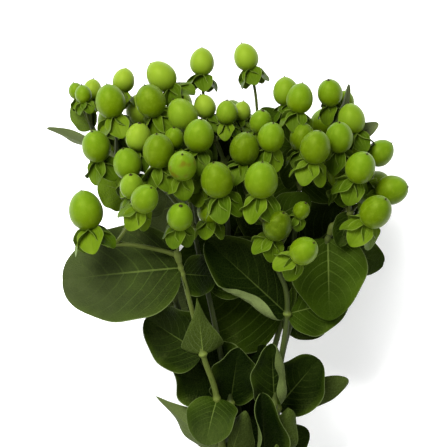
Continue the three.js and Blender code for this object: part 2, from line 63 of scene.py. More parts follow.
# Where things grow, in the layout's millimetres and in degrees
# ring: the stalk's place round the middle of the tie, or none for the stalk in the middle
# path: points of the leafy stem between the tie and its top
# forks: parent fork, x, y, z; fork 0 is the top of the stem
# berries: fork, x, y, z, length, tilt from +Y to +X, lean to +Z
# leaves: y on the stem, tilt, lean, roll, length, width, bend, cup
# bracts: fork, tilt, lean, roll, length, width
stems = {
    "a": {
        "ring": 116, "path": [[-1, -79, 47], [-8.8, -41, 59], [-18, -5, 69]], "forks": [[0, -43, 2, 70]],
        "berries": [
            [1, -55, 15.6, 72, 16.6, -13, 5], [1, -36.5, 25, 82, 11.5, -5, 35],
            [1, -31, 20, 91, 13, 30, 40], [0, -17.5, 13, 84, 12.5, 5, 45],
        ],
        "leaves": [
            [-7.5, -95, -15, 14, 50.5, 39.5, 8, -0.04], [-10, 95, -32, 0, 18, 17, 20, 0.12],
            [-42, -59, -10, -15, 28, 26, 10, 0.15], [-42, -6, 30, 180, 25, 16, -12, 0.5],
            [-60, 198, 40, 15, 21, 21, 30, 0.12], [-80, -56, -7, 150, 35, 16, -15, 0.3],
            [-93, 16, 22, 165, 31, 18, -10, 0.4],
        ],
        "bracts": [[1, -75, -20, 0, 9, 4]],
    },
    "b": {
        "ring": 219, "path": [[-5, -79, 37], [-20, -20, 38], [-36, 20, 40]],
        "forks": [[0, -44, 36, 46], [1, -53, 48, 42], [0, -44, 32, 30]],
        "berries": [
            [1, -51, 41, 66, 14, -15, 30], [2, -59.6, 63.5, 44, 7.6, -20, 0],
            [2, -56.5, 62, 52.5, 8, -10, 10], [2, -53, 64, 43, 9.4, 5, 0],
            [1, -45.5, 59, 62, 14.4, -12, 10], [1, -40.2, 67.5, 52, 10.6, 10, 0],
            [3, -49.5, 38, 30, 13, -50, -15], [3, -46, 52, 24, 13.5, -18, -30],
            [3, -47.5, 34, 12, 13.5, -55, -40],
        ],
        "leaves": [
            [13, 15, -35, 180, 20, 16, 10, 0.15], [-20, -77, -15, 180, 40, 22, 12, 0.15],
            [-118, -70, -5, 180, 32, 20, 10, 0.2],
        ],
        "bracts": [[1, -61, 5, 114, 30, 11], [0, -75, 0, 0, 14.5, 18], [2, -38, -12, 0, 13.5, 10]],
    },
    "c": {
        "ring": 270, "path": [[0, -79, 29], [-6, -20, 30], [-14, 28, 34]],
        "forks": [[0, -24, 42, 44], [0, -20, 44, 26]],
        "berries": [
            [1, -25.5, 69, 56, 14, -40, 0], [1, -29.5, 59, 66, 14.4, -20, 20],
            [1, -34, 56, 47, 13.2, -5, 5], [1, -17, 53.5, 64, 14.4, -30, 10],
            [2, -30, 60, 30, 13, -35, -20], [2, -18, 59, 34, 12, -8, -10],
            [2, -22, 48, 6.9, 13.5, -15, -55],
        ],
        "leaves": [
            [20, -110, -40, 180, 30, 22, 15, 0.15], [-12, 200, -28, 180, 40, 30, -10, 0.15],
        ],
        "bracts": [[0, 60, 8, 0, 18, 14], [1, -60, -15, 0, 20, 14]],
    },
    "d": {
        "ring": None, "path": [[6, -79, 34], [3, -20, 34], [0, 32, 42]],
        "forks": [[0, -4, 44, 48], [0, 13, 48, 42]],
        "berries": [
            [1, -9, 75, 50, 12, 0, 0], [2, 8.5, 77, 48, 12, -18, 0], [1, -8, 57, 56, 10.5, -20, 5],
            [1, 1, 54.5, 62, 10.5, 0, 15], [2, 7, 55, 53, 9, 10, 0], [2, 3, 54.5, 30, 12.5, 5, -20],
            [2, 8, 50, 18, 13, 10, -45],
        ],
        "leaves": [
            [0, 22, -12, 0, 32, 26, 0, 0.1], [2, -122, -3, 0, 26, 19, 0, 0.1],
            [-82, 13, 5, 0, 44.5, 25, 0, 0.15],
        ],
        "bracts": [
            [1, -100, 0, 0, 16, 12], [2, 80, 5, 0, 16, 12], [0, -40, 5, 0, 20, 16], [0, 45, 5, 0, 24, 18],
        ],
    },
    "e": {
        "ring": 167, "path": [[3, -79, 41], [-2, -40, 49], [-12, 6, 56]],
        "forks": [[0, -24, 24, 70], [0, -14, 22, 68]],
        "berries": [
            [1, -38.5, 34, 74, 13.6, -15, 25], [1, -34, 44.5, 70, 12.4, 5, 20],
            [1, -26, 39, 82, 15, -6, 27], [2, -20, 44, 71, 9.5, 0, 20], [2, -10, 45, 80, 14.4, 8, 25],
            [2, -16.5, 33, 89, 13.5, 0, 50], [2, -10, 29.5, 73, 12, 0, 10],
            [2, -3, 27.5, 86, 15.5, -12, 25], [0, -6, 16, 70, 12, 0, 0],
        ],
        "leaves": [
            [-14, 60, -12, 0, 30, 24, 10, 0.15], [-62, -36, 12, 0, 33, 30, 5, 0.2],
            [-62, 8, 30, 0, 27, 19, -5, 0.3],
        ],
        "bracts": [[2, 20, -10, 0, 24, 14], [2, 80, -30, 0, 20, 13]],
    },
    "f": {
        "ring": 64, "path": [[18, -79, 46], [25, -25, 58], [20.4, -6, 62]], "forks": [[0, 16, 10, 68]],
        "berries": [
            [1, 8, 40, 76, 14, 10, 20], [1, 14.5, 27.5, 87, 15.8, 3, 25], [1, 14.5, 50.5, 68, 11, 10, 30],
            [1, 18.5, 44.5, 77, 12.8, 8, 30], [0, 30.5, 15.5, 80, 8.2, 30, 35],
            [0, 21, 9.5, 82, 13.5, 25, 35], [0, 31.5, -0.5, 86, 13, 50, 40],
        ],
        "leaves": [
            [-26, -47, 10, 15, 44, 27, 5, 0.2], [-26, 76, -8, 0, 26, 22.5, 10, 0.12],
            [-62, -3, 28, 0, 27.5, 18, 0, 0.5], [-92, 16, 26, 155, 32, 15, -10, 0.5],
            [-90, -4, 28, 25, 37, 18, 0, 0.5],
        ],
        "bracts": [[1, -20, -5, 0, 24, 14], [1, 60, -25, 0, 24, 14]],
    },
    "g": {
        "ring": 321, "path": [[13, -79, 30], [25, -20, 37], [30, 24, 44]],
        "forks": [[0, 28, 40, 50], [0, 42, 40, 52], [0, 34, 38, 30]],
        "berries": [
            [1, 24.5, 63, 54, 12.4, -5, 5], [1, 30, 60, 65, 13, 10, 10], [1, 31, 44.5, 66, 12.4, 5, 15],
            [2, 36, 40.5, 77, 14.4, 15, 20], [2, 45.5, 44.5, 68, 13.6, 0, 30],
            [2, 42, 62.5, 58, 12, -8, 30], [2, 48, 59, 46, 10, 10, 0], [2, 50.5, 52, 58, 13.2, -10, 10],
            [3, 26, 52, 32, 13, -12, -20], [3, 40, 51, 30, 13, 15, -20], [3, 33, 46, 6.9, 13.5, 0, -55],
        ],
        "leaves": [
            [-24, -75, 8, 0, 41, 47, 8, 0.1], [-24, 118, -10, 0, 20, 18, 10, 0.15],
            [-5, 52, 0, 0, 35, 31, 10, 0.12], [0, -52, 2, 0, 28, 20, 10, 0.15],
            [-86, 60, 10, 0, 25, 18, 10, 0.15], [-125, 60, -15, 180, 34, 22, 10, 0.2],
        ],
        "bracts": [
            [0, -78, 0, 0, 22, 18], [0, 88, -3, 0, 22, 18], [1, -40, 10, 0, 21, 13], [1, 190, 20, 0, 17, 10],
            [2, 63, 8, 0, 22, 8], [2, 21, 8, 60, 27, 7],
        ],
    },
    "h": {
        "ring": 13, "path": [[20, -79, 38], [24.5, -37, 45], [42, 6, 56]],
        "forks": [[0, 50, 14, 60], [0, 49, 16, 44]],
        "berries": [
            [1, 46, 30, 56, 12, -5, 20], [1, 54, 32.5, 72, 14.4, 25, 35], [1, 62.5, 38.5, 52, 12.5, 50, 5],
            [1, 67, 23.5, 62, 14, 80, 25], [1, 60, 15, 75, 15.2, 38, 35], [2, 61, 26, 38, 13, 60, -20],
            [2, 52, 40, 32, 13, 20, -20],
        ],
        "leaves": [
            [4, 179, 16, 0, 33, 31, 20, 0.12], [1, 106, -20, 0, 28, 18, 12, 0.12],
            [-64, 40, 22, 0, 27, 23, 10, 0.2], [-64, 69, -10, 180, 31, 12, 10, 0.2],
            [-110, 70, 5, 0, 32, 20, 15, 0.2],
        ],
        "bracts": [[1, 200, 15, 0, 14, 10]],
    },
}

bundle = {
    "middle": (4, -215, 19),  # of the band, in layout millimetres
    "cutEnd": -316,
    "cutUneven": 2,
    "cutDrop": 9.3,  # the cut ends lie this much lower than the tie
    "cutSpread": 1.6,  # and stand this much further apart
    "ring": 4.4,  # seven stalks stand on a ring of this radius round the eighth
    "collar": 2.6,  # from the top of a leafy stem to the knuckle of its spray
    "samples": 4001,  # of the line of each stalk
}
meshing = {
    "inset": 2e-5,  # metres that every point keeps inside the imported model's box
    "sharp": 55,  # degrees past which an edge stays sharp
    "run": 100,  # millimetres of a stalk or branch for one unit of its map
}
bandMiddle = np.mean([list(corner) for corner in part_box("rubber_band")], axis=0) * 1000
layoutShift = bandMiddle - np.array(bundle["middle"])
lowCorner, highCorner = (np.array(list(corner)) for corner in cadBox)
up = np.array([0.0, 0.0, 1.0])


def joined(*arrays, axis=0):
    return np.concatenate(arrays, axis=axis)


# Vectors divided by their lengths
def unit(v):
    return v / np.linalg.norm(v, axis=-1, keepdims=True)


# A direction square to an axis, the cross product with a slanting hint
def square(axis, hint=(0.31, -0.42, 0.85)):
    return unit(np.cross(axis, hint))


# 1 at 0, and towards 0 on both sides: exp(-x^2)
def bell(x):
    return np.exp(-(x**2))


# The angles of a ring's corners
def ringAngles(sides):
    return np.arange(sides) * 2 * np.pi / sides


# 0 below start, 1 above end and an even slope at both
def ease(x, start, end):
    t = np.clip((x - start) / (end - start), 0, 1)
    return t * t * (3 - 2 * t)


# The running sum of steps along the last axis, from 0
def total(steps):
    return joined(np.zeros(steps.shape[:-1] + (1,)), np.cumsum(steps, axis=-1), axis=-1)


# Tilt turns +Y to +X and lean lifts to +Z: (sin t cos l, cos t cos l, sin l)
def direction(tilt, lean):
    t, l = math.radians(tilt), math.radians(lean)
    return np.array([math.sin(t) * math.cos(l), math.cos(t) * math.cos(l), math.sin(l)])


# The normal turned about an axis and the side that goes with it: n cos + (axis x n) sin
def turned(axis, normal, degrees):
    turn = math.radians(degrees)
    normal = normal * math.cos(turn) + np.cross(axis, normal) * math.sin(turn)
    return axis, normal, np.cross(axis, normal)


# The direction, the upper face's normal and the side of a blade that rolls about its midrib
def facing(tilt, lean, roll):
    d = direction(tilt, lean)
    return turned(d, unit(up - d * (up @ d)), roll)


# Catmull-Rom: between two points, the Hermite cubic whose slopes are half the chords of their neighbours
def spline(points, t):
    points = np.asarray(points, float)
    line = np.vstack([2 * points[0] - points[1], points, 2 * points[-1] - points[-2]])
    place = np.clip(t * (len(points) - 1), 0, len(points) - 1 - 1e-9)
    i = place.astype(int)
    w = (place - i)[:, None]
    a, b, c, d = (line[i + k] for k in range(4))
    return ((2 * w**3 - 3 * w**2 + 1) * b + (w**3 - 2 * w**2 + w) * (c - a) / 2
            + (3 * w**2 - 2 * w**3) * c + (w**3 - w**2) * (d - b) / 2)


# Quadratic Bezier: (1-t)^2 a + 2t(1-t) b + t^2 c
def bow(a, b, c, t):
    t = t[:, None]
    return (1 - t) ** 2 * a + 2 * t * (1 - t) * b + t**2 * c


# Even steps from 0 to 1, down a column of rings or round a row of corners
def column(count):
    return np.linspace(0, 1, count)[:, None]


def roundRow(sides):
    return np.linspace(0, 1, sides + 1)[None, :]


# A closed surface from a grid of points, a row for each ring of a body that a pole closes at each end.
# along and extra are two numbers for each corner, mark is one for each face, and tone is one for the whole.
def skin(rings, poles, along, extra, mark=0.0, tone=0.5):
    rows, sides = rings.shape[:2]
    points = joined([poles[0]], rings.reshape(-1, 3), [poles[1]])
    index = np.empty((rows + 2, sides + 1), int)
    index[0], index[-1] = 0, rows * sides + 1
    index[1:-1, :-1] = 1 + np.arange(rows * sides).reshape(rows, sides)
    index[1:-1, -1] = index[1:-1, 0]
    return faces(points, index, along, extra, mark, tone)


# The faces of a grid of point numbers, turned outwards by the sign of the volume they enclose
def faces(points, index, along, extra, mark, tone):
    shape = index.shape

    def corners(grid):
        return np.stack([grid[:-1, :-1], grid[:-1, 1:], grid[1:, 1:], grid[1:, :-1]], axis=2)

    def pairs(values):
        a, b = (np.broadcast_to(value, shape) for value in values)
        return corners(np.stack([a, b], axis=-1))

    quads = corners(index)
    marks = np.broadcast_to(mark, (shape[0] - 1, shape[1] - 1))
    marks = np.repeat(np.stack([marks, np.full(marks.shape, tone)], axis=-1)[:, :, None], 4, axis=2)
    centred = points - points.mean(axis=0)
    a, b, c, d = (centred[quads[..., k]] for k in range(4))
    volume = np.sum(np.cross(a, b) * c) + np.sum(np.cross(a, c) * d)
    order = slice(None) if volume > 0 else slice(None, None, -1)
    whole = [0, 1, 2, 3]  # at a pole two corners are one, and three are kept
    start = [0, 2, 3] if quads[0, 0, 0] == quads[0, 0, 1] else whole
    end = [0, 1, 2] if quads[-1, 0, 2] == quads[-1, 0, 3] else whole
    parts = [(slice(0, 1), start), (slice(1, -1), whole), (slice(-1, None), end)]

    def flat(grid):
        chosen = [grid[rows][:, :, keep][:, :, order] for rows, keep in parts]
        return np.concatenate([part.reshape((-1,) + part.shape[3:]) for part in chosen])

    sizes = [np.full(quads[rows].shape[0] * quads.shape[1], len(keep)) for rows, keep in parts]
    return {"points": points, "corners": flat(quads), "sizes": np.concatenate(sizes),
            "along": flat(pairs(along)), "extra": flat(pairs(extra)), "tone": flat(marks)}


def addObject(name, data):
    made = bpy.data.objects.new(name, data)
    scene.collection.objects.link(made)
    return made


# One mesh from several skins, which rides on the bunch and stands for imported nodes
def makePiece(name, skins, material, slotName, *nodes):
    def gathered(key):
        return np.concatenate([part[key] for part in skins])

    starts = np.cumsum([0] + [len(part["points"]) for part in skins])
    points = (gathered("points") + layoutShift) / 1000
    points = np.clip(points, lowCorner + meshing["inset"], highCorner - meshing["inset"])
    corners = np.concatenate([part["corners"] + start for part, start in zip(skins, starts)])
    sizes = gathered("sizes")
    mesh = bpy.data.meshes.new(name)
    mesh.vertices.add(len(points))
    mesh.vertices.foreach_set("co", points.ravel())
    mesh.loops.add(len(corners))
    mesh.loops.foreach_set("vertex_index", corners)
    mesh.polygons.add(len(sizes))
    mesh.polygons.foreach_set("loop_start", np.cumsum(sizes) - sizes)
    mesh.update(calc_edges=True)
    for key in ("along", "extra", "tone"):
        mesh.uv_layers.new(name=key).data.foreach_set("uv", gathered(key).ravel())
    mesh.polygons.foreach_set("use_smooth", np.ones(len(sizes), bool))
    mesh.set_sharp_from_angle(angle=math.radians(meshing["sharp"]))
    mesh.materials.append(material)
    piece = addObject(name, mesh)
    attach(piece, "root")
    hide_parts(*nodes)
    print(f"{name}: {len(sizes)} faces")


# Rings of points round a path: centre + radius (cos a normal + sin a binormal)
def tubeRings(path, radii, sides, reference=up):
    tangent = unit(np.gradient(path, axis=0))
    normal = unit(reference - (tangent @ reference)[:, None] * tangent)
    binormal = np.cross(tangent, normal)
    a = ringAngles(sides)
    circle = np.cos(a)[:, None] * normal[:, None] + np.sin(a)[:, None] * binormal[:, None]
    return path[:, None] + radii.reshape(len(path), -1)[:, :, None] * circle


# A round tube along a path, closed by a pole at each end
def tubeSkin(path, radii, sides, tone, nodal=0.0):
    rings = tubeRings(path, np.asarray(radii), sides, square(path[-1] - path[0]))
    run = total(np.linalg.norm(np.diff(path, axis=0), axis=1)) / meshing["run"]
    run = joined([run[0]], run, [run[-1]])[:, None]
    return skin(rings, (path[0], path[-1]), (run, roundRow(sides)), (nodal, 1.0), 0.0, tone)


knotLook = {
    "rows": 10,
    "sides": 12,
    "run": 0.03,  # of the map, from pole to pole
}


# An egg on an axis: radius times sine of phi, at -half length times cosine of phi
def knotSkin(centre, axis, radius, halfLength, tone):
    rows, sides = knotLook["rows"], knotLook["sides"]
    phi = np.linspace(0, np.pi, rows)[1:-1]
    path = centre - np.cos(phi)[:, None] * axis * halfLength
    rings = tubeRings(path, radius * np.sin(phi), sides, square(axis))
    poles = (centre - axis * halfLength, centre + axis * halfLength)
    return skin(rings, poles, (column(rows) * knotLook["run"], roundRow(sides)), (1.0, 1.0), 0.0, tone)


leafLook = {
    "rows": 42,
    "columns": 28,  # an even number, across one face
    "crowd": 0.45,  # how much closer the columns lie at the midrib
    "outline": (0.75, 0.5),
    "thickness": 0.42,
    "thinned": 0.5,  # towards the margin
    "narrow": 1.2,  # where half the width is less than this, the whole blade thins
    "crease": 0.45,  # depth along the midrib
    "creaseWidth": 1.0,
    "creaseFade": 0.6,
    "veinDepth": 0.11,
    "veinWidth": 0.17,
    "veinCount": 8.0,
    "veinArch": (0.2, 0.25),  # how far side veins slant and curve towards the tip
    "fan": False,  # lengthwise veins in place of side veins
    "wave": 0.09,  # of the margin, as a share of the half width
    "waves": 2.1,
    "waveReach": 2.3,  # a power: the higher, the nearer to the margin the waves keep
    "uneven": 0.035,  # of each half's width
    "lobes": (1.6, 1.1),  # the least number of swellings that make it uneven, and its spread
    "halves": (0.31, 0.37),  # by how much of a turn lobes and waves differ between the halves
    "twist": 0.0,
    "untwisted": 0.3,  # the share of the length where a twisted blade is level
    "curl": 0.0,  # more fall towards the tip
    "curlRange": (0.55, 1.1),
    "fold": 0.0,  # degrees that each half is turned up about the midrib
    "foldSharp": 4,
    "rollSide": 0,
    "rollStart": 0.7,
    "rollEnd": 1.02,
    "rollFade": (0.3, 0.85),  # the roll shrinks to the margin along this stretch
    "rollWidth": 0.34,
    "rollAngle": 190,
    # a pale bloom, partly the blade's own and partly painted light on blades that lie in shade
    "bloomAndPaintedLight": (0.0, 0.0),  # how pale the upper face is at its base and at its tip
    "pale": 0.3,  # and the underside
    "tones": (0.15, 0.6),  # from dark to fresh green, for a blade with no tone of its own
    "arc": (10, 0.2),  # bend and cup, for a blade whose row gives none
}


# A thin closed blade on an arc that falls by the bend; half width = sin(pi u^p)^q, as a share of its widest.
# Across, the turning of the section, atan(2 cup v) plus the margin's roll, is summed up from the midrib,
# and the crease, the side veins and the waves are relief along the section's normal.
def bladeSkin(base, frameOf, length, width, bend, cup, look, tone):
    d, n, s = frameOf
    rows, columns = look["rows"], look["columns"]
    p, q = look["outline"]
    lobeTurn, waveTurn, lobeShare = rng.uniform(0, 1, 3)
    u = (0.5 + np.sin(np.pi * np.linspace(-0.5, 0.5, rows + 2)) / 2)[:, None]
    t = np.linspace(-1, 1, columns + 1)[None, :]
    v = t * (1 - look["crowd"] + look["crowd"] * t * t)
    half = np.maximum(np.sin(np.pi * u**p), 0) ** q * width / 2
    body = np.sin(np.pi * np.clip(u, 0, 1)) ** 0.5
    lobes = look["lobes"][0] + look["lobes"][1] * lobeShare
    lobes = np.sin(2 * np.pi * (u * lobes + lobeTurn + look["halves"][0] * np.sign(v)))
    half = half * (1 + look["uneven"] * lobes * np.abs(v))
    slope = np.arctan(2 * cup * v) + math.radians(look["fold"]) * np.tanh(look["foldSharp"] * v) * body
    start = look["rollStart"] + (look["rollEnd"] - look["rollStart"]) * ease(u, *look["rollFade"])
    roll = np.clip((look["rollSide"] * v - start) / look["rollWidth"], 0, 1) * look["rollSide"]
    angle = slope + math.radians(look["rollAngle"]) * roll * body
    step = (half[:, 1:] + half[:, :-1]) / 2 * np.diff(v) / np.cos(np.arctan(cup * (v[:, 1:] + v[:, :-1])))
    turning = (angle[:, 1:] + angle[:, :-1]) / 2
    x, z = total(np.cos(turning) * step), total(np.sin(turning) * step)
    x, z = x - x[:, [columns // 2]], z - z[:, [columns // 2]]
    slant, curve = look["veinArch"]
    phase = look["veinCount"] * (u - slant * np.abs(v) - curve * v * v) + lobeTurn
    if look["fan"]:
        phase = look["veinCount"] * v + 0 * u
    vein = bell((phase - np.round(phase)) / look["veinWidth"])
    relief = -look["crease"] * bell(v * half / look["creaseWidth"]) * (1 - look["creaseFade"] * u)
    relief = relief - look["veinDepth"] * vein * body * (1 - v**4)
    ripple = np.sin(2 * np.pi * (look["waves"] * u + waveTurn + look["halves"][1] * np.sign(v)))
    relief = relief + look["wave"] * half * np.abs(v) ** look["waveReach"] * ripple
    thick = look["thickness"] / 2 * (1 - look["thinned"] * v**6) * np.minimum(half / look["narrow"], 1)
    twist = math.radians(look["twist"]) * (u - look["untwisted"])
    psi = math.radians(bend) * u[:, 0] + math.radians(look["curl"]) * ease(u[:, 0], *look["curlRange"])
    chord = (psi[1:] + psi[:-1]) / 2
    forward = total(np.cos(chord) * np.diff(u[:, 0])) * length
    fall = total(np.sin(chord) * np.diff(u[:, 0])) * length

    def placed(height):
        x1 = x - np.sin(angle) * (relief + height)
        z1 = z + np.cos(angle) * (relief + height)
        x2 = x1 * np.cos(twist) - z1 * np.sin(twist)
        z2 = x1 * np.sin(twist) + z1 * np.cos(twist)
        ahead = forward[:, None] + z2 * np.sin(psi)[:, None]
        above = z2 * np.cos(psi)[:, None] - fall[:, None]
        return base + ahead[..., None] * d + above[..., None] * n + x2[..., None] * s

    grid = joined(placed(thick), placed(-thick)[:, ::-1], axis=1)
    poles = grid[0].mean(axis=0), grid[-1].mean(axis=0)
    across = joined(v, v[:, ::-1], v[:, :1], axis=1) / 2 + 0.5
    vein = joined(phase, phase[:, ::-1], phase[:, :1], axis=1)
    mark = np.repeat([0.0, 0.5, 1.0, 0.5], [columns, 1, columns, 1])[None, :]  # above, rim, below, rim
    bloomAndPaintedLight = look["bloomAndPaintedLight"][0] + (look["bloomAndPaintedLight"][1] - look["bloomAndPaintedLight"][0]) * (u + 0 * v)
    bloomAndPaintedLight = joined(bloomAndPaintedLight, look["pale"] + 0 * bloomAndPaintedLight, bloomAndPaintedLight[:, :1], axis=1)
    return skin(grid[1:-1], poles, (u, across), (vein, bloomAndPaintedLight), mark, tone)


# The leaves or bracts of a stem, each with its own traits in place of the look's
def bladeSkins(rows, bases, look, traits):
    made = []
    for i, ((_, tilt, lean, roll, length, width, *arc), base) in enumerate(zip(rows, bases)):
        own = dict(traits.get(i, {}))
        tone = own.pop("tone", rng.uniform(*look["tones"]))
        bend, cup = arc or look["arc"]
        frameOf = facing(tilt, lean, roll)
        made.append(bladeSkin(base, frameOf, length, width, bend, cup, dict(look, **own), tone))
    return made


# The line of a stalk, from its cut end through the tie to its top
def stalkPoints(stem):
    ring = 0 if stem["ring"] is None else bundle["ring"]
    angle = math.radians(stem["ring"] or 0)
    x, y, z = bundle["middle"]

    def offset(along, drop, spread):
        return [x + ring * spread * math.cos(angle), along, z - drop + ring * spread * math.sin(angle)]

    cutEnd = bundle["cutEnd"] + bundle["cutUneven"] * math.cos(angle * 3)
    return [offset(cutEnd, bundle["cutDrop"], bundle["cutSpread"]), offset(y, 0, 1), *stem["path"]]


# The line, the heading at its top, the forks and the feet of the blades of one stem
def grow(stem):
    points = stalkPoints(stem)
    dense = np.linspace(0, 1, bundle["samples"])
    line = spline(points, dense)
    heading = unit(line[-1] - line[-2])
    knuckle = line[-1] + heading * bundle["collar"]
    forks = [knuckle] + [np.array(fork[1:], float) for fork in stem["forks"]]
    leafPlaces = np.interp([leaf[0] for leaf in stem["leaves"]], line[:, 1], dense)
    bractBases = [forks[bract[0]] for bract in stem["bracts"]]
    return {"points": points, "line": line, "dense": dense, "heading": heading, "forks": forks,
            "leafBases": spline(points, leafPlaces), "bractBases": bractBases}


plants = {name: grow(stem) for name, stem in stems.items()}
print("layout grown")


stalkLook = {
    "cutRadius": 1.75,
    "tieRadius": 1.6,
    "topRadius": 0.95,
    "tie": 0.25,  # the tie's place, as a share of the line
    "sides": 16,
    "rows": 130,
    "rowsFrom": 3,  # millimetres from the cut
    "rowGap": 0.25,  # the least between two rows
    "firstGap": 2.6,  # and from the cut to the row after it
    "ridge": 0.05,  # two low ridges run along the stalk
    "nodeSwell": 0.32,
    "nodeLength": 2.0,
    "nodeRows": (-1.6, 1.6, 9),  # more rows about each node: from, to and count, in its lengths
    "scars": (-292, -262, -238, -186, -160, -138),  # bare nodes, by y
    "scarSwell": 0.2,
    "scarJitter": 6,
    "bare": (-232, -198),  # no node under the band
    "slant": 0.45,  # of the cut
    "cut": (0.35, 0.8, 0.97),  # the rings of the cut face, as shares of the radius
    # low tones give painted shade to the stalks that lie deep inside the bunch
    "tones": {"a": 0.8, "b": 0.1, "c": 0.05, "d": 0.0, "e": 0.0, "f": 0.12, "g": 0.15, "h": 0.1},
}


# A stalk: radius = the taper times 1 + ridges + a bell at each node, cut off on a slant
def stalkSkin(name, stem, plant):
    look = stalkLook
    climb, dense = plant["line"][:, 1], plant["dense"]
    scars = np.array(look["scars"]) + rng.uniform(-look["scarJitter"], look["scarJitter"])
    scars = scars[(scars <= look["bare"][0]) | (scars >= look["bare"][1])]
    leaves = [leaf[0] for leaf in stem["leaves"]]
    swells = np.array([look["nodeSwell"]] * len(leaves) + [look["scarSwell"]] * len(scars))
    nodes = np.interp(joined(leaves, scars), climb, dense)
    length = np.sum(np.linalg.norm(np.diff(plant["line"], axis=0), axis=1))
    near = (nodes[:, None] + np.linspace(*look["nodeRows"]) * look["nodeLength"] / length).ravel()
    even = np.linspace(look["rowsFrom"] / length, 1, look["rows"])
    t = np.unique(joined(even, near, [0]).clip(0, 1))
    t = t[joined([True], np.diff(t) > look["rowGap"] / length)]
    t = t[(t == 0) | (t > look["firstGap"] / length)]
    path = spline(plant["points"], t)
    taper = np.interp(t, [0, look["tie"], 1], [look["cutRadius"], look["tieRadius"], look["topRadius"]])
    swell = bell((t[:, None] - nodes) * length / look["nodeLength"]) @ swells
    a = ringAngles(look["sides"])
    radii = (taper * (1 + swell))[:, None] * (1 + look["ridge"] * np.cos(2 * a) ** 5)
    rings = tubeRings(path, radii, look["sides"])
    start = unit(path[1] - path[0])
    lean = look["slant"] * taper[0]
    caps = []
    for share in look["cut"]:
        cap = path[0] + (rings[0] - path[0]) * share
        caps.append(cap + start * (lean * (1 + share * np.cos(a)))[:, None])
    rings[0] = rings[0] + start * (lean * (1 + np.cos(a)))[:, None]
    rings = joined(caps, rings)
    face = np.zeros(len(caps) + 1)
    run = joined(face, t * length / meshing["run"], [length / meshing["run"]])[:, None]
    nodal = joined(face, swell / look["nodeSwell"], [0])[:, None]
    radial = joined([0], look["cut"], np.ones(len(t) + 1))[:, None]
    mark = joined(face + 1, np.zeros(len(t)))[:, None]
    tone = look["tones"].get(name, rng.uniform(0, 1))
    poles = (path[0] + start * lean, path[-1])
    return skin(rings, poles, (run, roundRow(look["sides"])), (nodal + 0 * radial, radial), mark, tone)


branchLook = {
    "rows": 14,
    "radius": 0.88,
    "swell": (0.35, 0.1),  # at each end, and the share of the length that it takes
    "arch": 2,
    "pedicelRadius": 0.62,
    "pedicelSwell": (0.3, 0.12),
    "flare": 0.85,  # how much wider a pedicel is where it meets its berry
    "flareRange": (2.4, 0.2),  # from this far before the foot to this far past it
    "sides": (14, 12, 10),  # of the collar, a branch and a pedicel
    "collar": (1.22, 1.6, 5),  # radii at its ends, and rows
    "collarSink": 0.4,  # its foot lies this far inside the stalk
    "collarYellow": 0.4,  # of a node's colour
    "knuckle": (1.65, 2.3),  # radius and half length at the top of the leafy stem
    "knot": (1.25, 1.8),  # and at each fork
    "footShare": 0.47,
    "pull": 0.45,
    "sink": 0.6,  # the end of a pedicel inside its berry
    "tones": (0.4, 1.4),
}


# Where a berry's stalk meets it, and how far that is from its fork
def footOf(berry, plant):
    fork, x, y, z, length, tilt, lean = berry
    axis = direction(tilt, lean)
    foot = np.array([x, y, z], float) - axis * length * branchLook["footShare"]
    return axis, foot, np.linalg.norm(foot - plant["forks"][fork])


# Branches and pedicels are tubes along Bezier bows: radius = the look's times 1 + a bell at the fork.
# A branch has a bell at both ends, and a pedicel flares at its berry.
def branchSkins(stem, plant):
    look = branchLook
    forks, heading = plant["forks"], plant["heading"]
    tone = rng.uniform(*look["tones"])
    swell, swellShare = look["swell"]
    forkSwell, forkSwellShare = look["pedicelSwell"]
    before, past = look["flareRange"]
    t = np.linspace(0, 1, look["rows"])
    top = plant["line"][-1]
    sides = look["sides"]
    collar = column(look["collar"][2]) * (forks[0] - top) + top - heading * look["collarSink"]
    made = [tubeSkin(collar, np.linspace(*look["collar"]), sides[0], tone, look["collarYellow"]),
            knotSkin(forks[0], heading, *look["knuckle"], tone)]
    for (parent, *_), fork in zip(stem["forks"], forks[1:]):
        start = forks[parent]
        path = bow(start, (start + fork) / 2 + heading * look["arch"], fork, t)
        radii = look["radius"] * (1 + swell * bell(t / swellShare) + swell * bell((1 - t) / swellShare))
        made.append(tubeSkin(path, radii, sides[1], tone))
        made.append(knotSkin(fork, unit(path[-1] - path[-2]), *look["knot"], tone))
    for berry in stem["berries"]:
        axis, foot, reach = footOf(berry, plant)
        path = bow(forks[berry[0]], foot - axis * reach * look["pull"], foot + axis * look["sink"], t)
        radii = look["pedicelRadius"] * (1 + forkSwell * bell(t / forkSwellShare))
        flare = look["flare"] * berry[4] / berryLook["full"]
        radii = radii + flare * ease(t * reach, reach - before, reach + past)
        made.append(tubeSkin(path, radii, sides[2], tone))
    return made


berryLook = {
    "full": 14,  # the length that flares and calyces are sized for
    "rows": 26,
    "sides": 30,
    "width": 0.83,  # over the length
    "widthRange": (0.975, 1.015),
    "egg": 0.1,  # how far the widest part lies towards the foot
    "point": (0.24, 0.42),  # how much the tip narrows, and over what angle
    "lobes": 0.012,  # three very low lobes
    "seamHint": (0.6, 0.1, 0.79),  # the map starts on the side square to this
    "stub": 0.55,  # the dark remains of the styles
    "stubStart": 0.42,  # the egg's last radius
    "stubPlaces": (1.1, 0.9, 0.5, 0.15),  # the rings of the stub, back from the tip in its lengths
    "stubRadii": (0.33, 0.27, 0.22, 0.2),
    "blushed": (20, 33),  # these berries, by number, have a reddish cheek
    # painted light on berries at the top of the head, which face the light, and painted shade on berries that
    # lie deeper among the others
    "tones": {  # and these are paler, above 1, or deeper, below 0, than the rest
        1.9: (8, 10, 23, 25),
        1.65: (14, 16, 21, 22, 29),
        1.35: (2, 17, 19, 24, 44, 51),
        -0.35: (15, 30, 35, 46, 47, 59),
        -0.5: (37, 41),
        -0.9: (42,),
    },
}


